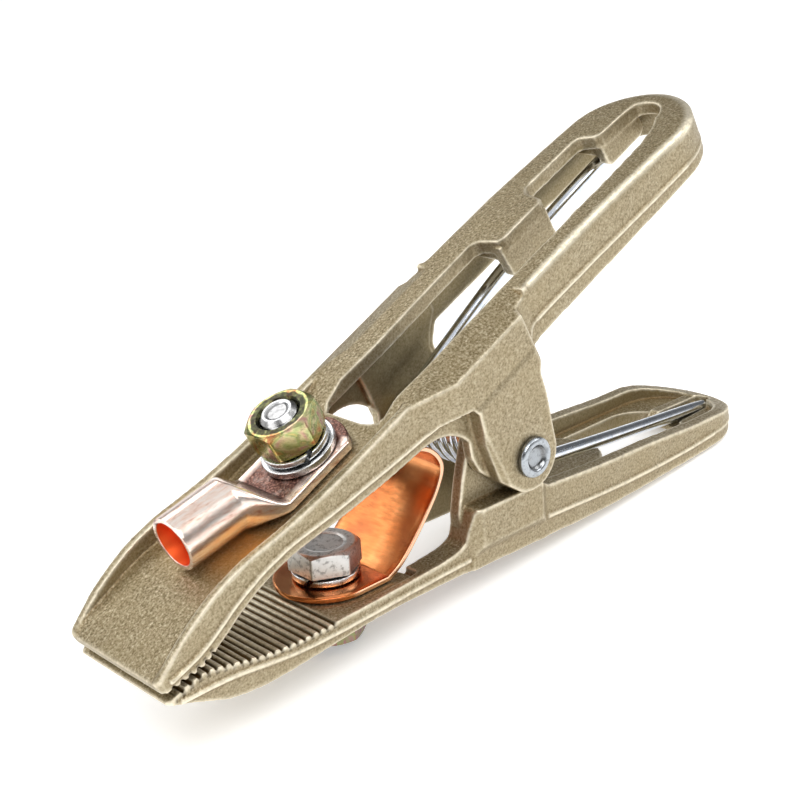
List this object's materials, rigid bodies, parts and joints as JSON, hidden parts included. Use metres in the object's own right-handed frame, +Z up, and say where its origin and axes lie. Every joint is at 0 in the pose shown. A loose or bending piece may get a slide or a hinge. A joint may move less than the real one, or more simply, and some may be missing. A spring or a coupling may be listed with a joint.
{
  "type": "welding ground clamp",
  "caption": "Spring-loaded cast brass welding ground clamp with toothed jaws, loop handles, a copper jaw strap and a bolted crimp cable lug.",
  "frame": {"origin": "centre of the bounding box's bottom face, with the clamp lying on its lower nut and lower handle", "axes": "+X along the clamp from the jaws to the handles, +Y from the near side to the far side, along the pivot, +Z up"},
  "size_m": [0.2244, 0.0524, 0.1076],
  "materials": {
    "cast_brass": "sand-cast brass, grainy tops, smoother flanks, worn bright edges",
    "zinc_steel": "bright zinc plate",
    "yellow_zinc": "yellow-green iridescent zinc plate",
    "spring_chrome": "bright plated spring wire",
    "strap_copper": "rolled copper strip, glossy, heat-tinted orange-brown",
    "lug_copper": "polished copper tube with drawing streaks"
  },
  "bodies": {
    "lower_arm": {"lower_jaw_arm": "cast_brass", "pivot_rivet": "zinc_steel", "torsion_spring": "spring_chrome", "copper_shunt": "strap_copper", "lower_spring_washer": "zinc_steel", "lower_bolt": "zinc_steel", "lower_flat_washer": "zinc_steel", "lower_nut": "yellow_zinc"},
    "upper_arm": {"upper_jaw_arm": "cast_brass", "cable_lug": "lug_copper", "upper_flat_washer": "zinc_steel", "upper_spring_washer": "zinc_steel", "upper_nut": "yellow_zinc", "upper_bolt": "zinc_steel"}
  },
  "joints": [
    {"name": "jaw_pivot", "type": "hinge", "parent": "lower_arm", "child": "upper_arm", "pos_m": [0.00758, 0, 0.03549], "axis": [0, 1, 0], "range_deg": [0, 30], "stiffness_Nm_per_rad": 7.4, "springref_deg": -51.57, "deforming": ["torsion_spring", "copper_shunt"]}
  ]
}
